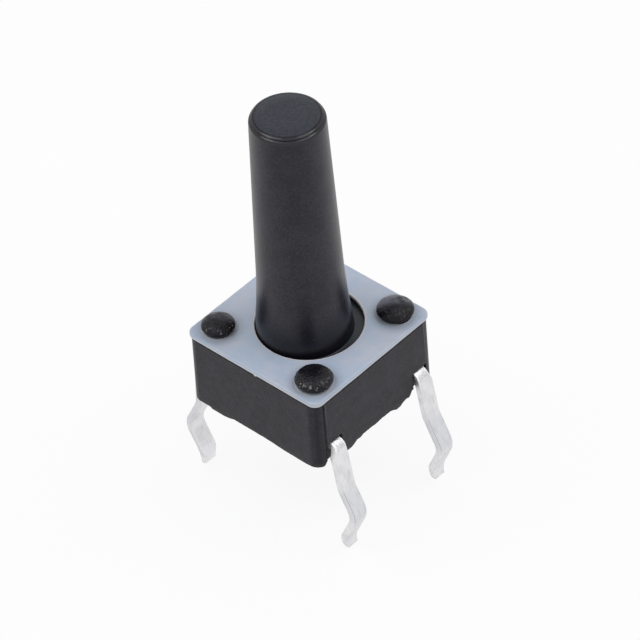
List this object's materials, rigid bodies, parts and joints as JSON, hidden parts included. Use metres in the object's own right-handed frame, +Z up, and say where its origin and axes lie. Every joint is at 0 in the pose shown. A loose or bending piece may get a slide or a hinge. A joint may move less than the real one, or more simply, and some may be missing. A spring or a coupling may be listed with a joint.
{
  "type": "tactile push button switch",
  "caption": "Square through-hole tactile switch with a long tapered round plunger, a staked milky cover plate and kinked flat leads.",
  "frame": {"origin": "the middle of the face that stands on the circuit board, under the plunger", "axes": "+Z up the plunger, away from the board; the leads leave the housing on its +X and -X sides, with a pair of leads 4.5 mm apart along Y on each"},
  "size_m": [0.008, 0.006, 0.0162],
  "materials": {
    "housing_plastic": "dark grey-black moulded nylon with a fine matte grain, melted and slightly shiny on the stake heads",
    "cover_nylon": "milky bluish translucent nylon sheet with a soft sheen",
    "plunger_plastic": "satin black moulded plastic",
    "dome_metal": "thin spring sheet, bright",
    "tinned_metal": "dull white tin plating on stamped sheet"
  },
  "bodies": {
    "switch_base": {"housing": "housing_plastic", "cover_plate": "cover_nylon", "snap_dome": "dome_metal", "centre_terminal": "tinned_metal", "rim_terminal": "tinned_metal"},
    "button": {"plunger": "plunger_plastic"}
  },
  "joints": [
    {"name": "plunger_press", "type": "slide", "parent": "switch_base", "child": "button", "axis": [0, 0, -1], "range_m": [0, 0.00025], "stiffness_N_per_m": 6400, "deforming": ["snap_dome"]}
  ]
}
